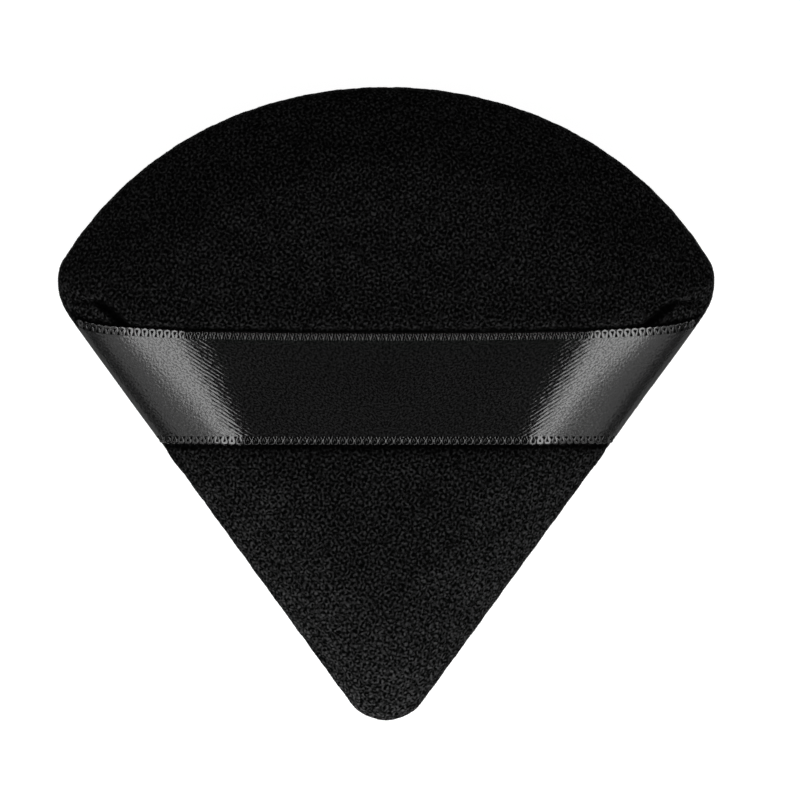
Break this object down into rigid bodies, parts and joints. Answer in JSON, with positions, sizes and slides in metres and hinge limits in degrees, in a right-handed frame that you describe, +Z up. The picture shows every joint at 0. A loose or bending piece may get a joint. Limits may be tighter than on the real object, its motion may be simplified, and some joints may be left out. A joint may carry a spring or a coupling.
{
  "type": "powder puff",
  "caption": "Rounded triangular velour powder puff with a foam core and a satin ribbon strap across its back that holds it on the fingers.",
  "frame": {"origin": "middle of the puff's box at its lowest point, on the surface that the face side lies on", "axes": "+Z up out of the strap side, +X to the right along the ribbon, +Y from the rounded tip to the arched top"},
  "size_m": [0.0702, 0.0676, 0.0125],
  "materials": {
    "velour": "black velour with a short dense nap, dull with a soft sheen at grazing angles",
    "foam": "off-white open-cell soft foam, matte",
    "satin_ribbon": "black woven satin with a silky gloss across the ribbon and picot selvedges",
    "sewing_thread": "black spun polyester thread, slight gloss"
  },
  "bodies": {
    "pad": {"strap_side_cover": "velour", "face_side_cover": "velour", "foam_core": "foam", "ribbon_left_tab": "satin_ribbon", "ribbon_right_tab": "satin_ribbon", "seam_needle_thread": "sewing_thread", "seam_bobbin_thread": "sewing_thread", "closing_thread": "sewing_thread"},
    "strap": {"ribbon_strap": "satin_ribbon"}
  },
  "joints": [
    {"name": "strap_lift", "type": "slide", "parent": "pad", "child": "strap", "axis": [0, 0, 1], "range_m": [0, 0.007], "stiffness_N_per_m": 20}
  ]
}
